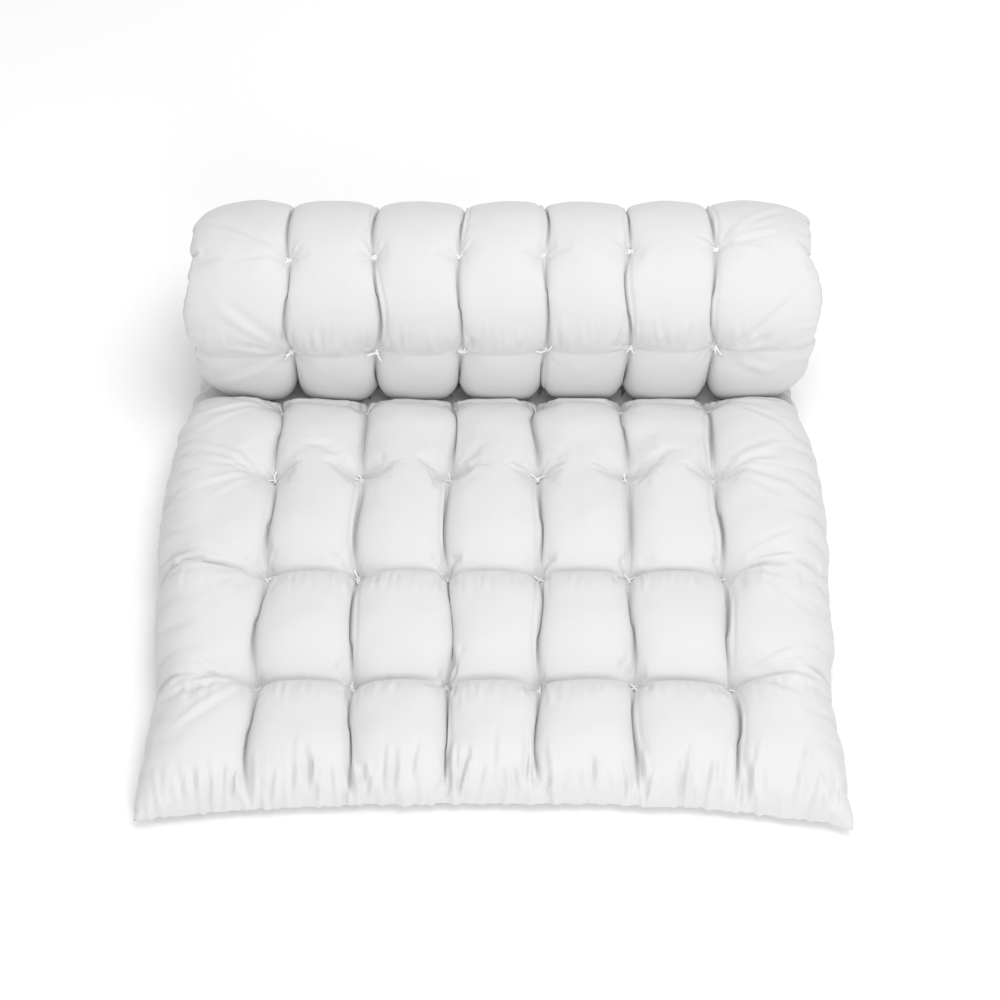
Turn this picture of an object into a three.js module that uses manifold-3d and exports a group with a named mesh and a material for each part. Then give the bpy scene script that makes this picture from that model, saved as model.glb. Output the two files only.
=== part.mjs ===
// A tufted futon mattress, 1.2 m wide, lying on the floor with its far end rolled up towards the near end.
// Millimetres, +Z up, X across the mattress, Y along it from the near edge to the roll.
//
// The mattress is a thin cotton casing (one panel on the lying face, one on the floor face) around three
// layers of cotton felt. Twine ties pull it together in rows. It bends at the rows of ties, so the rolled
// end is a chain of cells, each pivoted to the one before it on the line of ties between them.
import * as THREE from "three";
import { mergeVertices } from "three/addons/utils/BufferGeometryUtils.js";
import Module from "manifold-3d";

// ---- Driving dimensions ----
const WIDTH = 1215; // across the casing
const FELT_INSET = 14; // the felt stops this far inside the casing's side seams
const COLUMNS = 6; // ties across
const COLUMN_PITCH = 165;
const CASING = 1.0; // thickness of the cotton casing
const GAP = 0.3; // clearance between touching layers
const END_GAP = 6; // a cell stops this far short of its line of ties

// The flat stretch: each row of ties, its distance from the near edge, and how high its dimple sits.
const ROWS = [
  { name: "a", y: 224, dimple: 51 },
  { name: "b", y: 448, dimple: 77 },
  { name: "c", y: 671, dimple: 90 },
  { name: "d", y: 869, dimple: 51 },
];
const EDGE_SEAM = { y: 0, z: 18 }; // the near knife edge
const CROWNS = [64, 64, 58, 62, 15]; // rise of each flat cell above the line between its dimples
const UNDER_DIMPLE = { height: 12, reach: 34 }; // each tie lifts the floor face this much, this far round it
const EDGE_LIFT = { reach: 70, height: EDGE_SEAM.z - 6 }; // the floor face rises to the near seam over this reach
const SEAM_TO_TOP = 7; // the lying face starts this far above the near seam and above row I

// The rolled end: its centre, and the rows of ties round it, by distance and angle (0 = towards the near edge).
const ROLL = { y: 1068, z: 184, ties: 149 };
const AROUND = { e: 6.4, f: 78.4, g: 150.4, h: 228 };
const ROW_I = { y: 1018, z: 30 }; // the last row that lies on the floor, where the roll starts
const ROLL_LIFT = { reach: 60, height: ROW_I.z - 8 }; // the floor face rises to row I over this reach
const END_SEAM = { y: 1050, z: 88 }; // the far end's seam, tucked inside the roll

const CORE_SHARE = 0.36; // how far the middle felt layer reaches towards each face
const CELL_STEPS = 10; // profile points along a cell
const TWINE = 1.5; // radius of the tie twine
const KNOT = 4.2; // radius of a knot
const HOLE = 2.6; // radius of a needle hole
const NEEDLE = { length: 400, middle: 100 }; // a hole is cut this long, centred this high
const ROUND = 6; // sides of twine and holes

const COTTON = new THREE.MeshStandardMaterial({ color: 0xf1efee, roughness: 0.72, metalness: 0 });
const FELT = new THREE.MeshStandardMaterial({ color: 0xe9e2d2, roughness: 0.95, metalness: 0 });
const STRING = new THREE.MeshStandardMaterial({ color: 0xf7f6f2, roughness: 0.85, metalness: 0 });

const wasm = await Module();
wasm.setup();

const mattress = new THREE.Group();
const ALONG_X = new THREE.Matrix4().makeBasis(
  new THREE.Vector3(0, 1, 0),
  new THREE.Vector3(0, 0, 1),
  new THREE.Vector3(1, 0, 0),
);

const columns = Array.from({ length: COLUMNS }, (_, i) => (i - (COLUMNS - 1) / 2) * COLUMN_PITCH);
const polar = (degrees) => {
  const angle = THREE.MathUtils.degToRad(degrees);
  return { y: ROLL.y - ROLL.ties * Math.cos(angle), z: ROLL.z + ROLL.ties * Math.sin(angle) };
};

// ---- Solids ----
function extrudeAcross(outline, width) {
  const shape = new THREE.Shape(outline.map((p) => new THREE.Vector2(p.y, p.z)));
  const geometry = new THREE.ExtrudeGeometry(shape, { depth: width, bevelEnabled: false, steps: 1 });
  geometry.translate(0, 0, -width / 2);
  return geometry.applyMatrix4(ALONG_X);
}

function toSolid(geometry) {
  const bare = geometry.clone();
  bare.deleteAttribute("normal");
  bare.deleteAttribute("uv");
  const merged = mergeVertices(bare, 1e-4);
  return new wasm.Manifold(
    new wasm.Mesh({
      numProp: 3,
      vertProperties: merged.attributes.position.array,
      triVerts: new Uint32Array(merged.index.array),
    }),
  );
}

function toGeometry(solid) {
  const mesh = solid.getMesh();
  return new THREE.BufferGeometry()
    .setAttribute("position", new THREE.BufferAttribute(mesh.vertProperties, 3))
    .setIndex(new THREE.BufferAttribute(mesh.triVerts, 1));
}

function addMesh(name, geometry, material) {
  const mesh = new THREE.Mesh(geometry, material);
  mesh.name = name;
  mattress.add(mesh);
  return mesh;
}

// A slice of the mattress between two curves, both lists of points from the near end to the far end.
const between = (lower, upper) => [...lower, ...upper.slice().reverse()];

// ---- The flat stretch ----
const flatEnds = [EDGE_SEAM.y, ...ROWS.map((r) => r.y), ROW_I.y];
const topLine = [EDGE_SEAM.z + SEAM_TO_TOP, ...ROWS.map((r) => r.dimple), ROW_I.z + SEAM_TO_TOP];

function topHeight(y) {
  const cell = Math.min(CROWNS.length - 1, Math.max(0, flatEnds.findLastIndex((e) => y >= e)));
  const t = (y - flatEnds[cell]) / (flatEnds[cell + 1] - flatEnds[cell]);
  const line = THREE.MathUtils.lerp(topLine[cell], topLine[cell + 1], t);
  const fullness = cell === 0 ? Math.sin(Math.PI * Math.pow(t, 0.8)) : Math.pow(Math.sin(Math.PI * t), 1.3);
  return line + CROWNS[cell] * Math.max(0, fullness);
}

function floorHeight(y) {
  let height = 0;
  for (const row of ROWS) {
    const d = Math.abs(y - row.y) / UNDER_DIMPLE.reach;
    if (d < 1) height = Math.max(height, UNDER_DIMPLE.height * 0.5 * (1 + Math.cos(Math.PI * d)));
  }
  const lift = (distance, end) => (distance < end.reach ? end.height * Math.pow(1 - distance / end.reach, 2) : 0);
  return Math.max(height, lift(y - EDGE_SEAM.y, EDGE_LIFT), lift(ROW_I.y - y, ROLL_LIFT));
}

function flatSamples() {
  const ys = new Set();
  const start = EDGE_SEAM.y + GAP;
  const stop = ROW_I.y - END_GAP;
  flatEnds.slice(0, -1).forEach((from, cell) => {
    const to = flatEnds[cell + 1];
    for (let i = 0; i <= CELL_STEPS; i++) {
      ys.add(THREE.MathUtils.clamp(from + ((to - from) * i) / CELL_STEPS, start, stop));
    }
  });
  for (const row of ROWS) for (const side of [-1, -0.5, 0.5, 1]) ys.add(row.y + side * UNDER_DIMPLE.reach);
  for (const d of [18, 45, EDGE_LIFT.reach]) ys.add(EDGE_SEAM.y + d);
  for (const d of [15, 35, ROLL_LIFT.reach]) ys.add(ROW_I.y - d);
  return [...ys].sort((p, q) => p - q);
}

function drillFlat(geometry) {
  let solid = toSolid(geometry);
  for (const row of ROWS)
    for (const x of columns) {
      const needle = new THREE.CylinderGeometry(HOLE, HOLE, NEEDLE.length, ROUND).rotateX(Math.PI / 2);
      solid = solid.subtract(toSolid(needle.translate(x, row.y, NEEDLE.middle)));
    }
  return toGeometry(solid);
}

function buildFlatStretch() {
  const ys = flatSamples();
  const skin = CASING + GAP;
  const curve = (height) => ys.map((y) => ({ y, z: height(y) }));
  const inside = (share) => (y) => {
    const low = floorHeight(y) + skin;
    const high = topHeight(y) - skin;
    return low + (high - low) * share;
  };
  const lower = (1 - CORE_SHARE) / 2;
  const upper = (1 + CORE_SHARE) / 2;
  const felt = WIDTH - 2 * FELT_INSET;
  const layers = [
    ["flat_casing_floor_panel", (y) => floorHeight(y), (y) => floorHeight(y) + CASING, WIDTH, COTTON],
    ["flat_felt_floor_layer", inside(0), (y) => inside(lower)(y) - GAP, felt, FELT],
    ["flat_felt_core_layer", inside(lower), (y) => inside(upper)(y) - GAP, felt, FELT],
    ["flat_felt_lying_layer", inside(upper), inside(1), felt, FELT],
    ["flat_casing_lying_panel", (y) => topHeight(y) - CASING, topHeight, WIDTH, COTTON],
  ];
  for (const [name, low, high, width, material] of layers) {
    addMesh(name, drillFlat(extrudeAcross(between(curve(low), curve(high)), width)), material);
  }
}

// ---- Ties through the flat stretch: a stem of twine with a knot at each face ----
function tieGeometry(low, high) {
  const points = [
    [0, low],
    [KNOT, low + KNOT * 0.7],
    [TWINE, low + KNOT * 1.5],
    [TWINE, high - KNOT * 1.5],
    [KNOT, high - KNOT * 0.7],
    [0, high],
  ];
  const profile = points.map(([r, z]) => new THREE.Vector2(r, z));
  return new THREE.LatheGeometry(profile, ROUND).rotateX(Math.PI / 2);
}

function buildTies() {
  for (const row of ROWS) {
    const low = UNDER_DIMPLE.height - KNOT * 1.5 - GAP;
    const high = row.dimple + KNOT * 1.5 + 2;
    columns.forEach((x, i) => {
      const tie = addMesh(`tuft_tie_${row.name}${i + 1}`, tieGeometry(low, high), STRING);
      tie.position.set(x, row.y, 0);
    });
  }
}

// ---- The rolled end ----
// A cell runs from one row of ties to the next. Its outer face is the floor face of the mattress.
const rowE = polar(AROUND.e);
const rowF = polar(AROUND.f);
const rowG = polar(AROUND.g);
const rowH = polar(AROUND.h);
const CELLS = [
  { name: "under_roll", from: ROW_I, to: rowH, outer: 46, inner: 46 },
  { name: "roll_back", from: rowH, to: rowG, outer: 62, inner: 62 },
  { name: "roll_top", from: rowG, to: rowF, outer: 62, inner: 60 },
  { name: "roll_front", from: rowF, to: rowE, outer: 62, inner: 60 },
  { name: "roll_end", from: rowE, to: END_SEAM, outer: 76, inner: 48 },
];

function buildCell(cell) {
  const length = Math.hypot(cell.to.y - cell.from.y, cell.to.z - cell.from.z);
  const along = { y: (cell.to.y - cell.from.y) / length, z: (cell.to.z - cell.from.z) / length };
  const out = { y: along.z, z: -along.y };
  const step = (length - 2 * END_GAP) / CELL_STEPS;
  const steps = Array.from({ length: CELL_STEPS + 1 }, (_, i) => END_GAP + step * i);
  const swell = (u) => Math.sin((Math.PI * u) / length);
  const outer = (u) => cell.outer * Math.pow(swell(u), 0.8);
  const inner = (u) => -cell.inner * swell(u);
  const curve = (height) =>
    steps.map((u) => ({
      y: cell.from.y + along.y * u + out.y * height(u),
      z: cell.from.z + along.z * u + out.z * height(u),
    }));
  const skin = CASING + GAP;
  const layers = [
    ["casing_outer", (u) => outer(u) - CASING, outer, WIDTH, COTTON],
    ["felt_outer", (u) => CORE_SHARE * (outer(u) - skin) + GAP, (u) => outer(u) - skin, 0, FELT],
    ["felt_core", (u) => CORE_SHARE * (inner(u) + skin), (u) => CORE_SHARE * (outer(u) - skin), 0, FELT],
    ["felt_inner", (u) => inner(u) + skin, (u) => CORE_SHARE * (inner(u) + skin) - GAP, 0, FELT],
    ["casing_inner", inner, (u) => inner(u) + CASING, WIDTH, COTTON],
  ];
  for (const [layer, low, high, width, material] of layers) {
    const across = width || WIDTH - 2 * FELT_INSET;
    addMesh(`${cell.name}_${layer}`, extrudeAcross(between(curve(high), curve(low)), across), material);
  }
}

// A row of ties in the rolled end is one length of twine along the fold, knotted at each column.
function rowGeometry() {
  const end = WIDTH / 2 - FELT_INSET;
  const profile = [[0, -end], [TWINE, -end]];
  for (const x of columns) {
    profile.push([TWINE, x - KNOT * 1.6], [KNOT, x - KNOT], [KNOT, x + KNOT], [TWINE, x + KNOT * 1.6]);
  }
  profile.push([TWINE, end], [0, end]);
  const lathe = new THREE.LatheGeometry(
    profile.map(([r, x]) => new THREE.Vector2(r, x)),
    ROUND,
  );
  return lathe.rotateZ(-Math.PI / 2);
}

function buildRoll() {
  CELLS.forEach(buildCell);
  const rows = { i: ROW_I, h: rowH, g: rowG, f: rowF, e: rowE };
  for (const [name, place] of Object.entries(rows)) {
    const row = addMesh(`tuft_row_${name}`, rowGeometry(), STRING);
    row.position.set(0, place.y, place.z);
  }
}

buildFlatStretch();
buildTies();
buildRoll();

// The origin is under the middle of the whole mattress, on the floor.
mattress.updateMatrixWorld(true);
const extent = new THREE.Box3().setFromObject(mattress, true);
mattress.position.set(0, -(extent.min.y + extent.max.y) / 2, -extent.min.z);

export default mattress;
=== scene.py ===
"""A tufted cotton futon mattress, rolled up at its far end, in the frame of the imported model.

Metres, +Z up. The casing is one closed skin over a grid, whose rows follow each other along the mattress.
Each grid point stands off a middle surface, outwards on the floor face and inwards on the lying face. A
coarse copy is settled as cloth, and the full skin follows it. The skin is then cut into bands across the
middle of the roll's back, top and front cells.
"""
import math

import bpy
import numpy as np
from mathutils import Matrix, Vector


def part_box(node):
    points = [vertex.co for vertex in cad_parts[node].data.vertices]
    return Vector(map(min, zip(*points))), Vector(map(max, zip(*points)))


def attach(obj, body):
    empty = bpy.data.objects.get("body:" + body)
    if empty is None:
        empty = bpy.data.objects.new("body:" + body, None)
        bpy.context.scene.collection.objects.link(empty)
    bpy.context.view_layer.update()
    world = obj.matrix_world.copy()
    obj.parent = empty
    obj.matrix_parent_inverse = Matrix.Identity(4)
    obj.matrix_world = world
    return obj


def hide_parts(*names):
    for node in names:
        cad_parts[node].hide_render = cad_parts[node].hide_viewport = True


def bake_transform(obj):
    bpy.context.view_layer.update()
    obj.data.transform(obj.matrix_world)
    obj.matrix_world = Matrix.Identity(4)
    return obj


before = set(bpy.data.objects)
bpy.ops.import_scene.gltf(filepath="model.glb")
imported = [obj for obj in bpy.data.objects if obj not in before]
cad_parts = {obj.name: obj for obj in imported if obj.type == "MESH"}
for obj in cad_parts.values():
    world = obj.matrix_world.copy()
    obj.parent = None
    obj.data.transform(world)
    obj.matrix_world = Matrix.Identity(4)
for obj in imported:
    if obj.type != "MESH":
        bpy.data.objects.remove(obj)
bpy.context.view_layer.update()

rng = np.random.default_rng(11)


# ---- Places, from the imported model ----
def middle(node):
    low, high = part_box(node)
    return (Vector(low) + Vector(high)) / 2


PANEL_LOW, PANEL_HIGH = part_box("flat_casing_floor_panel")
NEAR_Y, HALF_WIDTH = PANEL_LOW[1], PANEL_HIGH[0]
TIE_X = np.array([middle(f"tuft_tie_a{i}").x for i in range(1, 7)])
FLAT_Y = {r: middle(f"tuft_tie_{r}1").y for r in "abcd"}
FOLD = {r: middle(f"tuft_row_{r}") for r in "ihgfe"}
BODY_OF_ROW = dict(zip("abcdihgfe", ["flat_part"] * 6 + ["roll_back", "roll_top", "roll_front"]))


def circle_centre(p, q, r):
    """Centre, in y and z, of the circle through three points."""
    rows = [[2 * (q.y - p.y), 2 * (q.z - p.z)], [2 * (r.y - p.y), 2 * (r.z - p.z)]]
    size = [v.y**2 + v.z**2 for v in (p, q, r)]
    return np.linalg.solve(rows, [size[1] - size[0], size[2] - size[0]])


CENTRE = circle_centre(FOLD["e"], FOLD["f"], FOLD["g"])


def around(point):
    """Angle round the roll in degrees, 0 towards the near edge and rising over the top, and distance."""
    dy, dz = point.y - CENTRE[0], point.z - CENTRE[1]
    return math.degrees(math.atan2(dz, -dy)) % 360, math.hypot(dy, dz)


# ---- The mattress along its length: one entry a station, from the near edge to the tucked-in end ----
ORDER = ["edge", *"abcdihgfe", "end"]
RIDGE_AT = [0.1836] * 7 + [0.178, 0.1765, 0.1765, 0.1765]  # radius of the skin between ties
END_SWELL = 0.024  # added to that in the last cell; it goes past its solid, and below the floor unrolled
TUCKED_REST = 0.056  # the tucked-in end comes no lower than this, on top of the flat part
SKIN_GAP = 0.006  # between the flat part and the end that rests on it
FLOOR_CLEAR = 0.0004  # at rest, no skin or twine lies closer to the floor
END_ANGLE, END_RADIUS = -79.4, 0.098
SEAM_Z = {"edge": 0.018, "a": 0.030, "b": 0.040, "c": 0.045, "d": 0.034}
LYING_TIE = [0.006, 0.021, 0.037, 0.045, 0.022, 0.010, 0.010, 0.010, 0.010, 0.010, 0.004]
FLOOR_TIE = [0.006, 0.018, 0.028, 0.033, 0.022, 0.012, 0.010, 0.010, 0.010, 0.009, 0.004]
LYING_CROWN = [0.084, 0.096, 0.101, 0.090, 0.050, 0.046, 0.074, 0.074, 0.072, 0.044]  # one a cell
LYING_SAG = [0.9, 0.50, 0.54, 0.96, 0.84, 0.15, 0.12, 0.12, 0.12, 0.12, 0.9]  # fullness at each row
FLOOR_SAG = [0.9, 0.8, 0.8, 0.8, 0.8, 0.9, 0.76, 0.84, 0.98, 0.50, 0.9]
ROW_SLIT = [0, 0.0024, 0.0028, 0, 0.0004, 0.004, 0.002, 0.001, 0.0004, 0.0006, 0]  # pulled-in depth
HALF_AT = [1.006, 0.978, 1.002, 1.014, 0.975, 0.945, 0.94, 0.928, 0.962, 0.968, 0.93]  # width, as a share
BELLY = [0.004, 0.005, 0.007, 0.006, 0.0, 0.0, 0.010, 0.012, 0.014, 0.008]  # side swell, one a cell
COLUMN_AT = [1.0, 1.0, 0.99, 0.99, 0.985, 0.98, 0.975, 0.97, 0.972, 0.972, 0.972]  # spread of the ties, too
EARS = (0.021, 0.039)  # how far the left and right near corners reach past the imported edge
SHIFT_AT = [0, 0, 0, 0, 0, 0.003, 0.010, 0.017, 0.015, 0.018, 0.012]  # the roll sits a little to one side
TURN_AT = [0, 0, 0, 0, 0, 0, 0, -1.5, -4.5, -0.5, 0]  # degrees that each row slips round the roll
TWIST_AT = [0, 0, 0, 0, 0, 0, 0, 2.0, 6.5, 3.5, 0]  # and how much further at the right than in the middle
LYING_CREASE = [0.32, 0.32, 0.32, 0.30, 0.34, 0.70, 0.5, 0.5, 0.5, 0.5, 0.5]  # how deep the tie lines run
FLOOR_CREASE = [0.4, 0.4, 0.4, 0.4, 0.4, 0.4, 0.4, 0.40, 0.40, 0.44, 0.75]
ROLL_BULGE = [0.25] * 6 + [0.30, 0.34, 0.34, 0.20, 0.08]  # how far the skin rounds down to the tie lines
ROLL_REACH = [0.036] * 7 + [0.030, 0.030, 0.050, 0.036]  # how far from a row the floor face fills out
CELLS = len(ORDER) - 1
ROLL_FROM = ORDER.index("i")

ROWS_A_CELL = 48
COLUMNS_A_CELL = 48
CROWD = 0.45  # how much the grid crowds towards the ties


def crowded(n):
    even = np.linspace(0, 1, n + 1)
    return (1 - CROWD) * even + CROWD * (0.5 - 0.5 * np.cos(np.pi * even))


S = np.concatenate([k + crowded(ROWS_A_CELL)[:-1] for k in range(CELLS)] + [[CELLS]])
C = np.concatenate([k + crowded(COLUMNS_A_CELL)[:-1] for k in range(7)] + [[7]])
CELL = np.minimum(S.astype(int), CELLS - 1)


def stationed(values):
    """A value given at each station, straight between them."""
    return np.interp(S, np.arange(CELLS + 1), values)


def eased(values):
    """A value given for each cell, held at its middle and eased from one to the next."""
    at = np.clip(S - 0.5, 0, CELLS - 1)
    k = np.minimum(at.astype(int), CELLS - 2)
    f = at - k
    f = f * f * (3 - 2 * f)
    values = np.array(values)
    return values[k] * (1 - f) + values[k + 1] * f


def middle_line():
    """y, z and outward direction of the middle surface at each row of the grid."""
    angles = [around(FOLD[r])[0] for r in "ihgfe"] + [END_ANGLE]
    radii = [around(FOLD[r])[1] for r in "ihgfe"] + [END_RADIUS]
    turn = np.interp(S, np.arange(ROLL_FROM, CELLS + 1), angles)
    radius = np.interp(S, np.arange(ROLL_FROM, CELLS + 1), radii)
    rad = np.radians(turn)
    roll = np.stack([CENTRE[0] - radius * np.cos(rad), CENTRE[1] + radius * np.sin(rad)], 1)
    ys = [NEAR_Y, *FLAT_Y.values(), roll[S >= ROLL_FROM][0][0]]
    zs = [*SEAM_Z.values(), roll[S >= ROLL_FROM][0][1]]
    flat = np.stack([np.interp(S, range(ROLL_FROM + 1), ys), np.interp(S, range(ROLL_FROM + 1), zs)], 1)
    line = np.where((S < ROLL_FROM)[:, None], flat, roll)
    lean = np.clip(S - (ROLL_FROM - 1), 0, 1)
    tilt = np.where(S < ROLL_FROM, 270 + (angles[0] - 270) * lean * lean, turn)
    out = np.stack([-np.cos(np.radians(tilt)), np.sin(np.radians(tilt))], 1)
    return line, out, radius


LINE, OUT, RADIUS = middle_line()
STEP = np.linalg.norm(np.diff(LINE, axis=0), axis=1)
RUN = np.concatenate([[0], np.cumsum(STEP)])  # metres along the mattress
RUN_AT = np.interp(np.arange(CELLS + 1), S, RUN)


# ---- Smooth random shapes ----
def ripple(u, v, wave, seed, count=7):
    """A smooth random field with bumps about one wave wide, between about -1 and 1."""
    local = np.random.default_rng(seed)
    total = 0
    for _ in range(count):
        angle, phase = local.uniform(0, 2 * np.pi, 2)
        k = 2 * np.pi / (wave * local.uniform(0.75, 1.6))
        total = total + np.sin(k * (u * np.cos(angle) + v * np.sin(angle)) + phase)
    return total / math.sqrt(count)


# ---- Columns across: tie lines that wander a little, and the side edges ----
WANDER = rng.uniform(-0.009, 0.009, (CELLS, 6))
WANDER_TWICE = rng.uniform(-0.0045, 0.0045, (CELLS, 6))
FOLD_SIDE = rng.choice([-1, 1], (CELLS, 6))
FOLD_SIZE = rng.uniform(0.15, 1.0, (CELLS, 6)) * (rng.random((CELLS, 6)) < 0.75)
PUCKER, PUCKER_PITCH = 0.0045, 0.047  # depth and spacing of the nicks along the side seams


def across():
    """x of every grid point, and its distance to the nearest tie line and to the side edge."""
    t = (S - CELL)[:, None]
    shift = stationed(SHIFT_AT)
    lines = TIE_X[None, :] * stationed(COLUMN_AT)[:, None] + shift[:, None]
    lines = lines + WANDER[CELL] * np.sin(np.pi * t) + WANDER_TWICE[CELL] * np.sin(2 * np.pi * t)
    t1 = S - CELL
    half = HALF_WIDTH * stationed(HALF_AT) + np.array(BELLY)[CELL] * np.sin(np.pi * t1)
    left, right = shift - half, shift + half
    for side, seed, inward in ((left, 5, 1), (right, 9, -1)):
        side += 0.0020 * ripple(RUN, 0 * RUN, 0.06, seed)
        phase = np.pi * RUN / PUCKER_PITCH + 0.8 * np.sin(RUN / 0.09 + seed)
        side += inward * PUCKER * (1 - np.abs(np.sin(phase))) ** 3
    marks = np.concatenate([left[:, None], lines, right[:, None]], 1)
    k = np.minimum(C.astype(int), 6)
    f = (C - k)[None, :]
    x = marks[:, k] * (1 - f) + marks[:, k + 1] * f
    to_line = np.min(np.abs(x[:, :, None] - lines[:, None, :]), axis=2)
    to_side = np.minimum(x - left[:, None], right[:, None] - x)
    return x, to_line, to_side, lines


X, TO_LINE, TO_SIDE, LINES = across()
TO_ROW = np.min(np.abs(RUN[:, None] - RUN_AT[None, 1:-1]), axis=1)[:, None]
NEAREST_ROW = np.clip(np.rint(S).astype(int), 0, CELLS)
U = RUN[:, None] + 0 * X
TIE_D = np.hypot(TO_LINE, TO_ROW)  # distance from each grid point to its nearest tie

# A row's valley dies away between the outer ties and the side seams of the flat part.
PAST_TIES = np.clip((np.abs(X - stationed(SHIFT_AT)[:, None]) - TIE_X[-1]) / 0.11, 0, 1)
TO_THE_SIDE = 1 - 0.85 * np.clip(ROLL_FROM - 0.5 - S, 0, 1)[:, None] * PAST_TIES ** 0.8


# ---- How full the skin stands ----
def rounded(distance, reach, power=2.3, root=0.52):
    """0 at a seam, rising steeply like the side of a pillow to 1 at reach."""
    return np.maximum(1 - (1 - np.clip(distance / reach, 0, 1)) ** power, 0) ** root


NEAR_A_ROW = np.cos(np.pi * np.abs(S - np.rint(S)))[:, None]  # 1 on a row, 0 halfway to the next
BULGE = (1 - np.clip(TO_LINE / 0.085, 0, 1)) ** 2  # 1 on a tie line, 0 midway between two


def fullness(sag, crease, crease_reach, row_reach, pit_reach, bulge):
    sag = np.array(sag)[NEAREST_ROW][:, None]
    column = 1 - crease * np.exp(-TO_LINE / crease_reach) - bulge * BULGE
    row = 1 - (1 - sag) * np.exp(-TO_ROW / row_reach) * TO_THE_SIDE * NEAR_A_ROW
    pit = (1 - crease) * sag * np.exp(-TIE_D / pit_reach)
    return column * row - pit


def slits(reach, depth):
    """The narrow folds that the ties pull along the tie lines and, less, along the rows."""
    t = (S - CELL)[:, None]
    column = depth * (0.40 + 0.60 * np.sin(np.pi * t)) * np.exp(-TO_LINE / reach)
    row = np.array(ROW_SLIT)[NEAREST_ROW][:, None] * np.exp(-TO_ROW / reach) * TO_THE_SIDE * NEAR_A_ROW
    return column + row


def beside():
    """A second, lighter fold beside some tie lines, with a low ridge between the two."""
    t = (S - CELL)[:, None]
    nearest = np.argmin(np.abs(X[:, :, None] - LINES[:, None, :]), axis=2)
    gap = X - np.take_along_axis(LINES, nearest, axis=1)
    side, size = FOLD_SIDE[CELL[:, None], nearest], FOLD_SIZE[CELL[:, None], nearest]
    swing = np.sin(np.pi * t)
    away = side * gap - 0.004 - 0.011 * swing * size
    ridge = np.exp(-(((away + 0.005) / 0.0042) ** 2))
    groove = np.exp(-((away / 0.0028) ** 2))
    return (0.0046 * ridge - 0.0050 * groove) * size * swing ** 0.6


def fold(height, start, end, width, rise, fade):
    """Adds one fold to a face: a ridge with a groove along it, from start to end in x and metres of run.

    fade "out" is full at the start and dies away; "both" dies away at both ends.
    """
    (x0, u0), (x1, u1) = start, end
    margin = 4 * width
    first, last = np.searchsorted(RUN, [min(u0, u1) - margin, max(u0, u1) + margin])
    if last <= first:
        return
    part = np.s_[first:last]
    dx, du = x1 - x0, u1 - u0
    length = math.hypot(dx, du)
    gx, gu = X[part] - x0, U[part] - u0
    at = (gx * dx + gu * du) / length**2
    off = (gu * dx - gx * du) / length
    inside = np.clip(at, 0, 1)
    taper = (1 - inside) ** 0.9 if fade == "out" else np.sin(np.pi * inside) ** 0.8
    taper = taper * np.exp(-((np.minimum(at, 0) * length / width) ** 2)) * (at < 1)
    ridge = np.exp(-((off / width) ** 2)) - 0.75 * np.exp(-(((off - 1.7 * width) / width) ** 2))
    height[part] += rise * taper * ridge


def star_folds(height, local, rows, strength):
    """Short folds that run out from each tie."""
    for station in rows:
        for tie in range(6):
            x, u = TIE_X[tie] * COLUMN_AT[station] + SHIFT_AT[station], RUN_AT[station]
            turn = local.uniform(0, 2 * np.pi)
            for spoke in range(local.integers(6, 10)):
                angle = turn + 0.8 * spoke + local.uniform(-0.25, 0.25)
                reach = local.uniform(0.018, 0.050)
                end = (x + reach * math.cos(angle), u + reach * math.sin(angle))
                start = (x + 0.003 * math.cos(angle), u + 0.003 * math.sin(angle))
                fold(height, start, end, local.uniform(0.0026, 0.0042),
                     strength * local.uniform(0.0014, 0.0040), "out")


def hem_folds(height, local, strength):
    """Gathers along the near edge: many short ones, and a few long."""
    for _ in range(120):
        x = local.uniform(-0.97, 0.97) * HALF_WIDTH
        reach = 0.040 + 0.066 * local.random() ** 2.2
        slant = local.uniform(-0.30, 0.30) * reach
        lift = local.uniform(-0.024, 0.004)
        fold(height, (x, lift), (x + slant, lift + reach), local.uniform(0.0034, 0.0056),
             strength * local.uniform(0.0026, 0.0090), "both")


def side_folds(height, local, strength):
    """Puckers along both side seams, and long folds that fan out from the outer ties."""
    for side in (-1, 1):
        for u in np.arange(0.05, RUN[-1], 0.046):
            u = u + local.uniform(-0.016, 0.016)
            edge = side * (HALF_WIDTH - 0.006)
            inward = edge - side * local.uniform(0.025, 0.060)
            fold(height, (edge, u), (inward, u + local.uniform(-0.02, 0.02)), local.uniform(0.004, 0.0075),
                 strength * local.uniform(0.0016, 0.0048), "out")
        for station in range(1, CELLS):
            x, u = side * abs(TIE_X[0]) * COLUMN_AT[station] + SHIFT_AT[station], RUN_AT[station]
            for spread in (-0.75, -0.42, -0.16, 0.12, 0.38):
                spread = spread + local.uniform(-0.1, 0.1)
                reach = local.uniform(0.11, 0.165)
                end = (x + side * reach, u + reach * spread)
                fold(height, (x + side * 0.02, u + 0.02 * spread), end, local.uniform(0.005, 0.009),
                     strength * local.uniform(0.0006, 0.0036), "both")


def row_streaks(height, local, station, toward, strength):
    """Fine folds that run lengthwise out of a row where the skin is gathered."""
    for _ in range(110):
        x = local.uniform(-0.92, 0.92) * HALF_WIDTH
        reach = local.uniform(0.022, 0.066)
        start = (x, RUN_AT[station] + toward * local.uniform(0.004, 0.016))
        end = (x + local.uniform(-0.004, 0.004), start[1] + toward * reach)
        fold(height, start, end, local.uniform(0.0030, 0.0046),
             strength * local.uniform(0.0006, 0.0026), "both")


def lumps(seed, size):
    return size * (ripple(X, U, 0.17, seed) + 0.3 * ripple(X, U, 0.07, seed + 1))


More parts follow.
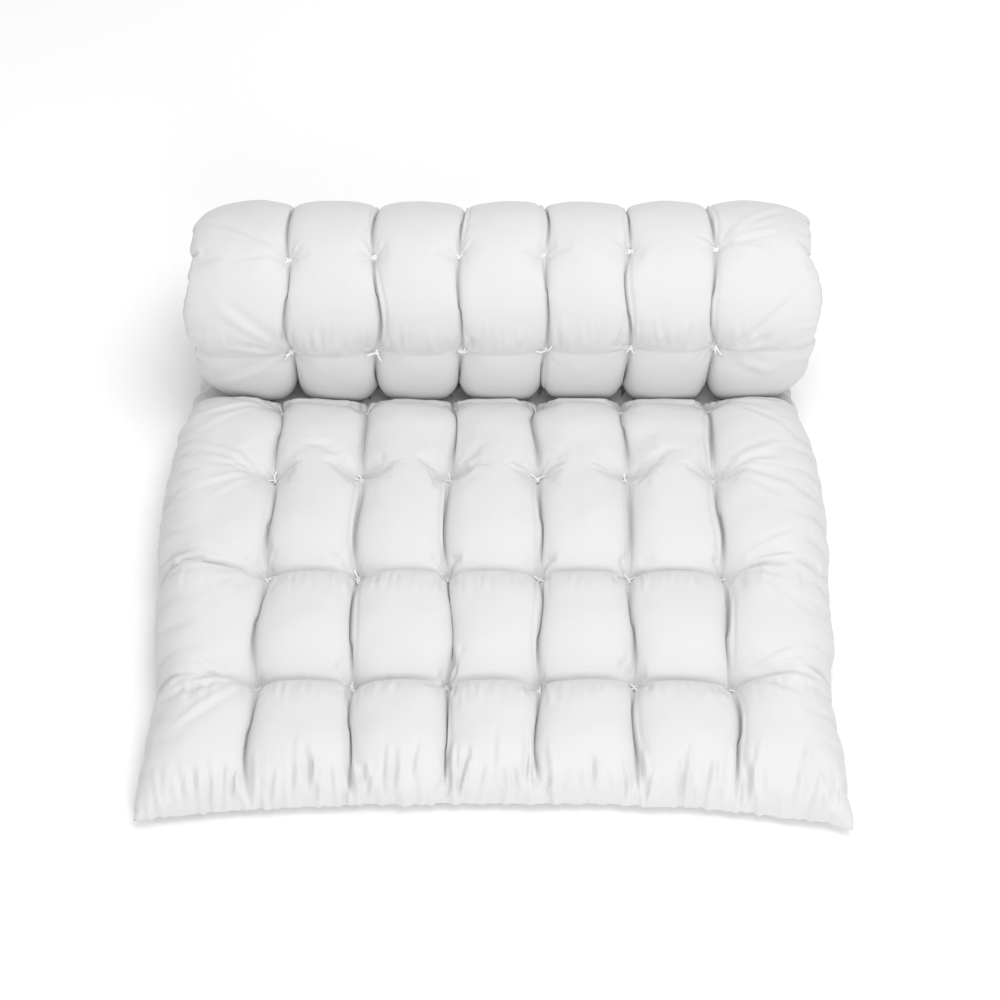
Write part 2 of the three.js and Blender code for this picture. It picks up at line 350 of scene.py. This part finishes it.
def folds(seed, rows, strength, gathered):
    """Every fold on one face. gathered lists the rows with streaks, and which way they run."""
    local = np.random.default_rng(seed)
    height = np.zeros_like(X)
    star_folds(height, local, rows, strength)
    side_folds(height, local, strength)
    hem_folds(height, local, strength)
    for station, toward in gathered:
        row_streaks(height, local, station, toward, strength)
    return height


def under_the_roll(crown):
    """The lying face swells just before the roll, then drops away beneath it."""
    t = S - (ROLL_FROM - 1)
    high = 1 / (1 + np.exp((t - 0.46) / 0.050))
    back = np.clip((t - 1.0) / 0.6, 0, 1)
    back = back * back * (3 - 2 * back)
    low = 0.011 + (crown - 0.011) * np.where(t < 1, high, back)
    return np.where(t < 0, crown, low)


def offsets():
    """How far each face stands off the middle surface."""
    roll = np.clip(S - (ROLL_FROM - 0.5), 0, 1)[:, None]
    wide = rounded(TO_SIDE, 0.100 + 0.030 * roll)
    close = wide * rounded(np.minimum(U, RUN[-1] - U), 0.110)
    last = np.sin(np.pi * np.clip(S - CELLS + 1, 0, 1))

    full = fullness(LYING_SAG, stationed(LYING_CREASE)[:, None], 0.020, 0.036, 0.014, 0.08)
    tie, crown = stationed(LYING_TIE)[:, None], under_the_roll(eased(LYING_CROWN))[:, None]
    lying = (tie + (crown - tie) * full - slits(0.0038, 0.019) + beside() * (1 - roll)) * close
    small = folds(20, range(1, CELLS), 1.0, [(ORDER.index("a"), -1), (ORDER.index("b"), -1)])
    lying = lying + (small + lumps(24, 0.0016)) * wide * (1 - 0.6 * roll)

    row_reach = stationed(ROLL_REACH)[:, None]
    bulge = stationed(ROLL_BULGE)[:, None]
    full = fullness(FLOOR_SAG, stationed(FLOOR_CREASE)[:, None], 0.010, row_reach, 0.018, bulge)
    tie = stationed(FLOOR_TIE)[:, None]
    reach = stationed(RIDGE_AT) - RADIUS + END_SWELL * last
    crown = np.where(S < ROLL_FROM, LINE[:, 1], reach)[:, None]
    floor = (tie + (crown - tie) * full - (slits(0.0036, 0.014) - beside()) * roll) * close
    small = folds(50, range(1, CELLS), 1.0, [(ORDER.index("e"), -1)])
    floor = floor + (small + lumps(54, 0.0014)) * wide * (0.2 + 0.8 * roll)
    down = -OUT[:, 1][:, None]
    rest = np.where(S > CELLS - 1, TUCKED_REST, FLOOR_CLEAR)
    resting = (LINE[:, 1] - rest)[:, None] / np.maximum(down, 1e-3)
    floor = np.where(down > 0.05, np.minimum(floor, resting), floor)
    thin = 0.0015 * np.clip(np.minimum(TO_SIDE, np.minimum(U, RUN[-1] - U)) / 0.004, 0.2, 1)
    return np.maximum(lying, thin), np.maximum(floor, thin)


LYING, FLOOR = offsets()
PLEAT = 0.0020  # how far the near edge goes in and out where it is gathered


def surface(off, sign):
    """Grid of points on one face."""
    near = np.exp(-(U - RUN_AT[0]) / 0.16)
    corner = np.abs(X) / HALF_WIDTH
    ear = np.where(X < 0, *EARS)
    y = LINE[:, 0][:, None] + sign * OUT[:, 0][:, None] * off
    y = y - ear * near * (corner**3.2) + 0.012 * near * (1 - corner**2)
    y = y + PLEAT * np.exp(-U / 0.030) * (ripple(X, 0 * X, 0.034, 71) + 0.7 * ripple(X, 0 * X, 0.016, 72))
    z = LINE[:, 1][:, None] + sign * OUT[:, 1][:, None] * off
    slip = np.radians(stationed(TURN_AT)[:, None] + stationed(TWIST_AT)[:, None] * X / HALF_WIDTH)
    y, z = y - CENTRE[0], z - CENTRE[1]
    y, z = y * np.cos(slip) + z * np.sin(slip), z * np.cos(slip) - y * np.sin(slip)
    y, z = y + CENTRE[0], np.maximum(z + CENTRE[1], FLOOR_CLEAR)
    return np.stack([X, y, z], 2)


LYING_SKIN, FLOOR_SKIN = surface(LYING, -1), surface(FLOOR, 1)


# ---- The skin as one closed mesh, then cut into bands ----
ROW_COUNT, COLUMN_COUNT = X.shape


def vertex_numbers(rows, columns):
    """Vertex number of each grid point on each face; the faces share their points along the seam."""
    lying = np.arange(rows * columns).reshape(rows, columns)
    seam = np.zeros_like(lying, bool)
    seam[0, :] = seam[-1, :] = seam[:, 0] = seam[:, -1] = True
    return lying, np.where(seam, lying, lying + lying.size)


def grid_quads(at, first, last, flip):
    a, b = at[first:last, :-1], at[first:last, 1:]
    c, d = at[first + 1:last + 1, 1:], at[first + 1:last + 1, :-1]
    quads = np.stack([a, b, c, d], -1).reshape(-1, 4)
    return quads[:, ::-1] if flip else quads


def make_mesh(name, points, faces, material=None):
    mesh = bpy.data.meshes.new(name)
    mesh.from_pydata(np.asarray(points).tolist(), [], [list(map(int, f)) for f in faces])
    if material:
        mesh.materials.append(material)
    mesh.polygons.foreach_set("use_smooth", [True] * len(mesh.polygons))
    mesh.update()
    piece = bpy.data.objects.new(name, mesh)
    bpy.context.scene.collection.objects.link(piece)
    return piece


# ---- The cloth settles: a coarse copy of the skin is inflated with its ties held ----
COARSE = 3  # every third grid line
SETTLE_FRAMES = 14
SETTLE_CAP = 0.009  # no point moves further than this
EDGE_HOLD = 0.35  # how firmly the seam is held, where a tie is 1


def capped(move):
    length = np.linalg.norm(move, axis=-1, keepdims=True)
    return move * np.minimum(1, SETTLE_CAP / np.maximum(length, 1e-9))


def spread_out(coarse):
    """A coarse grid of moves, drawn straight between its points onto the full grid."""
    for axis, count in ((0, ROW_COUNT), (1, COLUMN_COUNT)):
        at = np.arange(count) / COARSE
        low = np.minimum(at.astype(int), coarse.shape[axis] - 2)
        part = (at - low).reshape([-1 if i == axis else 1 for i in range(3)])
        coarse = np.take(coarse, low, axis) * (1 - part) + np.take(coarse, low + 1, axis) * part
    return coarse


def hold_ties(piece, lying, floor, numbers):
    group = piece.vertex_groups.new(name="held")
    step_row, step_column = ROWS_A_CELL // COARSE, COLUMNS_A_CELL // COARSE
    for face in (lying, floor):
        held = face[step_row:-1:step_row, step_column:-1:step_column].ravel()
        group.add(np.searchsorted(numbers, held).tolist(), 1.0, "REPLACE")
    edge = np.unique(np.concatenate([lying[0], lying[-1], lying[:, 0], lying[:, -1]]))
    group.add(np.searchsorted(numbers, edge).tolist(), EDGE_HOLD, "REPLACE")
    return group


def inflate(piece, group):
    cloth = piece.modifiers.new("cloth", "CLOTH")
    settings = cloth.settings
    settings.quality = 5
    settings.mass = 0.15
    settings.effector_weights.gravity = 0
    settings.use_pressure = True
    settings.uniform_pressure_force = 2.2
    settings.vertex_group_mass = group.name
    settings.shrink_min = -0.035
    settings.tension_stiffness = settings.compression_stiffness = 12
    settings.bending_stiffness = 0.15
    for frame_number in range(1, SETTLE_FRAMES + 1):
        bpy.context.scene.frame_set(frame_number)
    ready = piece.evaluated_get(bpy.context.evaluated_depsgraph_get())
    moved = np.empty(len(ready.data.vertices) * 3)
    ready.data.vertices.foreach_get("co", moved)
    return moved.reshape(-1, 3)


def settle(lying_skin, floor_skin):
    """Both faces after the cloth has taken up its slack between the ties."""
    small = [skin[::COARSE, ::COARSE] for skin in (lying_skin, floor_skin)]
    rows, columns = small[0].shape[:2]
    lying, floor = vertex_numbers(rows, columns)
    points = np.concatenate([face.reshape(-1, 3) for face in small])
    quads = np.concatenate([grid_quads(lying, 0, rows - 1, False), grid_quads(floor, 0, rows - 1, True)])
    numbers, local = np.unique(quads, return_inverse=True)
    piece = make_mesh("settling", points[numbers], local.reshape(quads.shape))
    moves = np.zeros_like(points)
    moves[numbers] = capped(inflate(piece, hold_ties(piece, lying, floor, numbers)) - points[numbers])
    mesh = piece.data
    bpy.data.objects.remove(piece)
    bpy.data.meshes.remove(mesh)
    bpy.context.scene.frame_set(1)
    settled = lying_skin + spread_out(moves[lying]), floor_skin + spread_out(moves[floor]) * FLOOR_GIVES
    for skin in settled:
        skin[:, :, 2] = np.maximum(skin[:, :, 2], FLOOR_CLEAR)
    return settled


FLOOR_GIVES = np.clip(S - ROLL_FROM, 0, 1)[:, None, None]  # the floor face can't swell where it rests
LYING_SKIN, FLOOR_SKIN = settle(LYING_SKIN, FLOOR_SKIN)


def lay_end_on_flat():
    """Lifts the tucked-in end to where it rests, then presses the flat part clear of it."""
    end = FLOOR_SKIN[S > CELLS - 1.5]
    end[:, :, 2] = np.maximum(end[:, :, 2], TUCKED_REST)
    FLOOR_SKIN[S > CELLS - 1.5] = end
    roll = FLOOR_SKIN[S > CELLS - 2].reshape(-1, 3)
    steps = np.arange(roll[:, 1].min(), roll[:, 1].max(), 0.002)
    place = np.clip(np.digitize(roll[:, 1], steps) - 1, 0, len(steps) - 1)
    lowest = np.full(len(steps), 1.0)
    np.minimum.at(lowest, place, roll[:, 2])
    flat = LYING_SKIN[S < ROLL_FROM + 0.5]
    ceiling = np.interp(flat[:, :, 1], steps, lowest, left=1.0) - SKIN_GAP
    flat[:, :, 2] = np.minimum(flat[:, :, 2], ceiling)
    LYING_SKIN[S < ROLL_FROM + 0.5] = flat


lay_end_on_flat()
LYING_AT, FLOOR_AT = vertex_numbers(ROW_COUNT, COLUMN_COUNT)
POINTS = np.concatenate([LYING_SKIN.reshape(-1, 3), FLOOR_SKIN.reshape(-1, 3)])


def put_seam_between():
    """The shared seam points lie midway between the two faces."""
    for index in (np.s_[0, :], np.s_[-1, :], np.s_[:, 0], np.s_[:, -1]):
        POINTS[LYING_AT[index]] = (LYING_SKIN[index] + FLOOR_SKIN[index]) / 2


put_seam_between()


def vertex_normals(points, quads):
    p = points[quads]
    face = np.cross(p[:, 2] - p[:, 0], p[:, 3] - p[:, 1])
    total = np.zeros_like(points)
    for corner in range(4):
        np.add.at(total, quads[:, corner], face)
    return total / np.maximum(np.linalg.norm(total, axis=1), 1e-12)[:, None]


ALL_QUADS = np.concatenate([
    grid_quads(LYING_AT, 0, ROW_COUNT - 1, False),
    grid_quads(FLOOR_AT, 0, ROW_COUNT - 1, True),
])
NORMALS = vertex_normals(POINTS, ALL_QUADS)


def cloth_map(piece, used):
    """A UV map in metres of cloth, with the two faces side by side."""
    run = np.concatenate([U.ravel(), U.ravel()])[used]
    side = np.concatenate([X.ravel(), X.ravel() + 3 * HALF_WIDTH])[used]
    corners = np.empty(len(piece.data.loops), int)
    piece.data.loops.foreach_get("vertex_index", corners)
    layer = piece.data.uv_layers.new(name="cloth")
    layer.data.foreach_set("uv", np.stack([side[corners], run[corners]], 1).ravel())


def band(name, first, last, material):
    """The skin between two rows of the grid, closed across each cut."""
    quads = [grid_quads(LYING_AT, first, last, False), grid_quads(FLOOR_AT, first, last, True)]
    for row, flip in ((first, False), (last, True)):
        if 0 < row < ROW_COUNT - 1:
            low, high = FLOOR_AT[row], LYING_AT[row]
            wall = np.stack([low[:-1], low[1:], high[1:], high[:-1]], 1)
            quads.append(wall[:, ::-1] if flip else wall)
    quads = np.concatenate(quads)
    used, numbers = np.unique(quads, return_inverse=True)
    numbers = numbers.reshape(quads.shape)
    faces = [list(dict.fromkeys(q)) for q in numbers.tolist()]
    piece = make_mesh(name, POINTS[used], [f for f in faces if len(f) > 2], material)
    piece.data.normals_split_custom_set_from_vertices(NORMALS[used].tolist())
    cloth_map(piece, used)
    return piece


# ---- Ties: a stem of twine through the mattress, a knot and two tails at each face ----
TWINE = 0.0015  # radius
KNOT = 0.0052  # about the radius of a knot
LYING_TAIL, FLOOR_TAIL = 0.034, 0.022  # the longest tail on each face


def tube(path, radius, sides=7):
    """A closed tube along a list of points."""
    path = np.asarray(path, float)
    ahead = np.gradient(path, axis=0)
    ahead /= np.linalg.norm(ahead, axis=1)[:, None]
    helper = np.array([0.31, 0.23, 0.92])
    side = np.cross(ahead, helper)
    side /= np.linalg.norm(side, axis=1)[:, None]
    up = np.cross(side, ahead)
    turn = np.linspace(0, 2 * np.pi, sides, endpoint=False)
    ring = side[:, None] * np.cos(turn)[None, :, None] + up[:, None] * np.sin(turn)[None, :, None]
    points = (path[:, None] + radius * ring).reshape(-1, 3)
    faces = []
    for i in range(len(path) - 1):
        for j in range(sides):
            a, b = i * sides + j, i * sides + (j + 1) % sides
            faces.append([a, a + sides, b + sides, b])
    faces.append(list(range(sides)))
    faces.append([(len(path) - 1) * sides + j for j in reversed(range(sides))])
    return points, faces


def knot_paths(place, normal, lengthwise, local, tail):
    """A knot and its two tails, resting on the skin at place."""
    sideways = np.cross(normal, lengthwise)
    spin = local.uniform(0, np.pi)
    e1 = math.cos(spin) * lengthwise + math.sin(spin) * sideways
    e2 = np.cross(normal, e1)
    t = np.linspace(0, 2 * np.pi, 33)
    base = place + normal * (KNOT * 0.45)
    loop = base + KNOT * 0.42 * (
        np.outer(np.sin(t) + 1.4 * np.sin(2 * t), e1)
        + np.outer(np.cos(t) - 1.4 * np.cos(2 * t), e2)
        - np.outer(0.8 * np.sin(3 * t), normal))
    paths = [loop]
    for _ in range(2):
        heading = local.uniform(0, 2 * np.pi)
        away = math.cos(heading) * e1 + math.sin(heading) * e2
        bow = np.cross(normal, away) * local.uniform(-0.5, 0.5)
        length = tail * local.uniform(0.6, 1.0)
        u = np.linspace(0, 1, 9)
        rise = 0.0030 + 0.80 * length * u - 0.50 * length * u * u
        along = np.outer(u * length * 0.85, away) + np.outer(u * u * length, bow)
        paths.append(place + along + np.outer(rise, normal))
    return paths


def row_of_ties(letter, material):
    station = ORDER.index(letter)
    row = station * ROWS_A_CELL
    local = np.random.default_rng(100 + station)
    points, faces, count = [], [], 0
    raised = 0.006 if letter in "abcd" else 0.0  # how far the knots stand up out of their pits
    lengthwise = np.array([0, -OUT[row, 1], OUT[row, 0]])
    out = np.array([0, OUT[row, 0], OUT[row, 1]])
    for column in range(1, 7):
        at = column * COLUMNS_A_CELL
        lying, floor = LYING_SKIN[row, at] - out * raised, FLOOR_SKIN[row, at]
        paths = [np.linspace(lying - out * 0.001, floor + out * 0.001, 6)]
        paths += knot_paths(lying, -out, lengthwise, local, LYING_TAIL)
        floor_paths = knot_paths(floor, out, lengthwise, local, FLOOR_TAIL)
        paths += floor_paths[:1] if letter == "f" else floor_paths  # row f shows no tails
        for path in paths:
            p, f = tube(path, TWINE)
            p[:, 2] = np.maximum(p[:, 2], FLOOR_CLEAR)
            points.append(p)
            faces += [[v + count for v in face] for face in f]
            count += len(p)
    return make_mesh(f"ties_row_{letter}", np.concatenate(points), faces, material)


# ---- Materials ----
def node(tree, kind, **values):
    made = tree.nodes.new(kind)
    for key, value in values.items():
        if key in made.inputs:
            made.inputs[key].default_value = value
        else:
            setattr(made, key, value)
    return made


def fabric(name, colour, rough, sheen, thread, weave, crease, spread):
    """Woven cotton: threads both ways at thread metres, soft creases, and slight colour drift."""
    material = bpy.data.materials.new(name)
    material.use_nodes = True
    tree = material.node_tree
    link = tree.links.new
    shader = tree.nodes["Principled BSDF"]
    shader.inputs["Roughness"].default_value = rough
    shader.inputs["Sheen Weight"].default_value = sheen
    shader.inputs["Sheen Roughness"].default_value = 0.45
    shader.inputs["Specular IOR Level"].default_value = 0.35
    place = node(tree, "ShaderNodeTexCoord").outputs["Object"]

    drift = node(tree, "ShaderNodeTexNoise", Scale=9.0, Detail=3.0)
    tone = node(tree, "ShaderNodeValToRGB")
    dark = [c * (1 - spread) for c in colour]
    tone.color_ramp.elements[0].color = (*dark, 1)
    tone.color_ramp.elements[1].color = (*colour, 1)
    link(place, drift.inputs["Vector"])
    link(drift.outputs["Fac"], tone.inputs["Fac"])
    link(tone.outputs["Color"], shader.inputs["Base Color"])

    heights = []
    for axis in "XY":
        scale = 1 / (thread * 20)
        wave = node(tree, "ShaderNodeTexWave", bands_direction=axis, Scale=scale, Distortion=1.5)
        link(place, wave.inputs["Vector"])
        heights.append(wave.outputs["Fac"])
    woven = node(tree, "ShaderNodeMath", operation="ADD")
    link(heights[0], woven.inputs[0])
    link(heights[1], woven.inputs[1])
    folds = node(tree, "ShaderNodeTexNoise", Scale=34.0, Detail=5.0, Roughness=0.55, Distortion=0.6)
    link(place, folds.inputs["Vector"])
    fine = node(tree, "ShaderNodeBump", Strength=weave, Distance=0.0004)
    soft = node(tree, "ShaderNodeBump", Strength=crease, Distance=0.003)
    link(folds.outputs["Fac"], soft.inputs["Height"])
    link(woven.outputs["Value"], fine.inputs["Height"])
    link(soft.outputs["Normal"], fine.inputs["Normal"])
    link(fine.outputs["Normal"], shader.inputs["Normal"])
    return material


COTTON = fabric("white_cotton", (0.645, 0.645, 0.65), 0.60, 0.06, 0.0005, 0.12, 0.16, 0.02)
STRING = fabric("white_twine", (0.90, 0.895, 0.88), 0.85, 0.35, 0.0008, 0.7, 0.20, 0.05)
FLOOR_PAINT = fabric("pale_floor", (0.94, 0.94, 0.94), 0.9, 0.0, 0.01, 0.0, 0.0, 0.0)


def fold_blend(piece, letter):
    """Bakes the band's placement into its mesh; the direction across its fold is worked out but not used.
    """
    row = ORDER.index(letter) * ROWS_A_CELL
    way = Vector((0, -OUT[row, 1], OUT[row, 0]))
    way = way if way.dot(Vector((0, *(LINE[row + 2] - LINE[row - 2])))) > 0 else -way
    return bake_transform(piece)


LAYERS = ["casing_outer", "casing_inner", "felt_outer", "felt_core", "felt_inner"]
FLAT_NODES = ["flat_casing_floor_panel", "flat_casing_lying_panel",
              "flat_felt_floor_layer", "flat_felt_core_layer", "flat_felt_lying_layer"]


def cell_nodes(cell):
    return [f"{cell}_{layer}" for layer in LAYERS]


BANDS = [
    ("mattress_flat", "h", FLAT_NODES + cell_nodes("under_roll")),
    ("mattress_back", "g", cell_nodes("roll_back")),
    ("mattress_top", "f", cell_nodes("roll_top")),
    ("mattress_front", "e", cell_nodes("roll_front") + cell_nodes("roll_end")),
]


def build_mattress():
    cuts = [0, *[ORDER.index(r) * ROWS_A_CELL + ROWS_A_CELL // 2 for r in "hgf"], ROW_COUNT - 1]
    for i, (name, letter, nodes) in enumerate(BANDS):
        piece = band(name, cuts[i], cuts[i + 1], COTTON)
        fold_blend(piece, letter)
        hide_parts(*nodes)


def build_ties():
    for letter in "abcdihgfe":
        piece = row_of_ties(letter, STRING)
        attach(piece, BODY_OF_ROW[letter])
        ties = [f"tuft_tie_{letter}{i}" for i in range(1, 7)]
        names = ties if letter in "abcd" else [f"tuft_row_{letter}"]
        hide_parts(*names)


build_mattress()
build_ties()


# ---- Floor, light and camera ----
def build_floor():
    corners = [(-30, -30, -0.001), (30, -30, -0.001), (30, 30, -0.001), (-30, 30, -0.001)]
    make_mesh("floor", corners, [[0, 1, 2, 3]], FLOOR_PAINT)


def softbox(name, place, aim, size, power):
    light = bpy.data.lights.new(name, "AREA")
    light.shape, light.size, light.energy = "DISK", size, power
    lamp = bpy.data.objects.new(name, light)
    lamp.location = place
    lamp.rotation_euler = (Vector(aim) - Vector(place)).to_track_quat("-Z", "Y").to_euler()
    bpy.context.scene.collection.objects.link(lamp)


def build_world(strength):
    world = bpy.data.worlds.new("studio")
    world.use_nodes = True
    world.node_tree.nodes["Background"].inputs["Color"].default_value = (1, 1, 1, 1)
    world.node_tree.nodes["Background"].inputs["Strength"].default_value = strength
    bpy.context.scene.world = world


def build_camera():
    """Looks down at 50 degrees from over the near edge."""
    camera = bpy.data.objects.new("camera", bpy.data.cameras.new("camera"))
    camera.data.lens = 86.4
    camera.location = (0.0115, NEAR_Y - 2.229, 3.498)
    camera.rotation_euler = (math.radians(40), 0, 0)
    bpy.context.scene.collection.objects.link(camera)
    bpy.context.scene.camera = camera


build_floor()
build_world(0.68)
softbox("overhead", (0.8, 0.2, 3.8), (0, 0, 0), 3.6, 78)
softbox("front_fill", (0.6, -3.9, 2.2), (0, 0.3, 0.2), 2.6, 68)
build_camera()
bpy.context.scene.view_settings.view_transform = "Standard"
